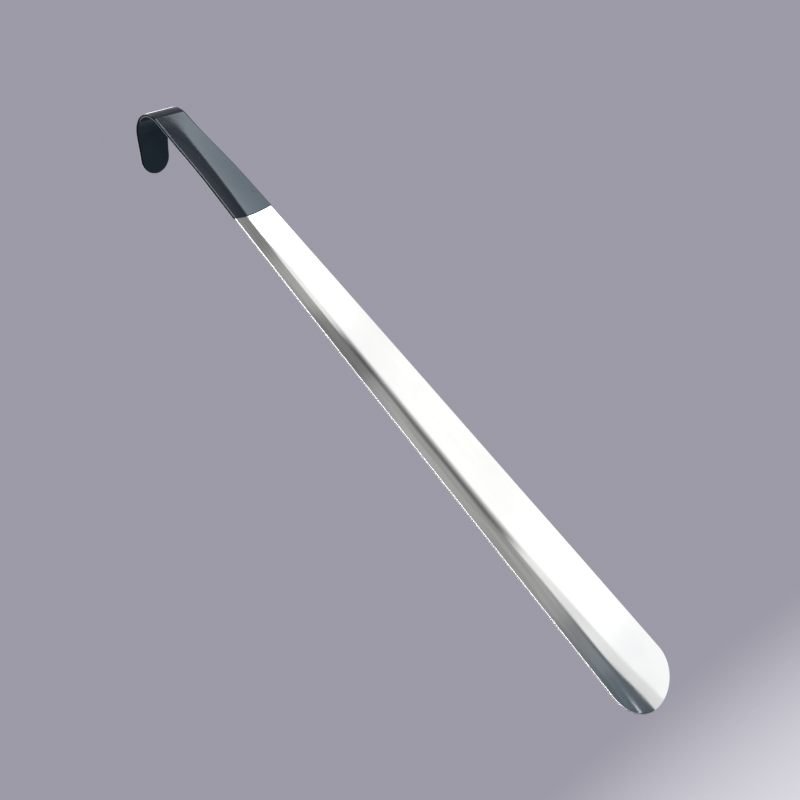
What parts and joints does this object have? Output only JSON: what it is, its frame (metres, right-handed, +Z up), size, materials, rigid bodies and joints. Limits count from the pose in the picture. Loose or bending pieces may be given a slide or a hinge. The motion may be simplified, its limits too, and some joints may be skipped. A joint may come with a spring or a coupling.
{
  "type": "long shoehorn",
  "caption": "Long shoehorn pressed from polished steel strip: shallow channel blade with a round tip, flaring from a glossy black sleeved handle that bends back into a hanging hook.",
  "frame": {"origin": "Centre of the rail the hook hangs on, half way across the strip.", "axes": "+Z runs up the shaft from the blade to the hook, +X runs across the strip along the rail, and +Y is the side the hook bends over to. The channel of the blade opens toward -Y."},
  "size_m": [0.054, 0.0569, 0.52],
  "materials": {
    "polished_steel": "bright polished steel with a fine lengthwise grain",
    "sleeve_black": "glossy black dipped coat"
  },
  "bodies": {
    "root": {"steel_horn": "polished_steel", "grip_sleeve": "sleeve_black"}
  },
  "joints": []
}
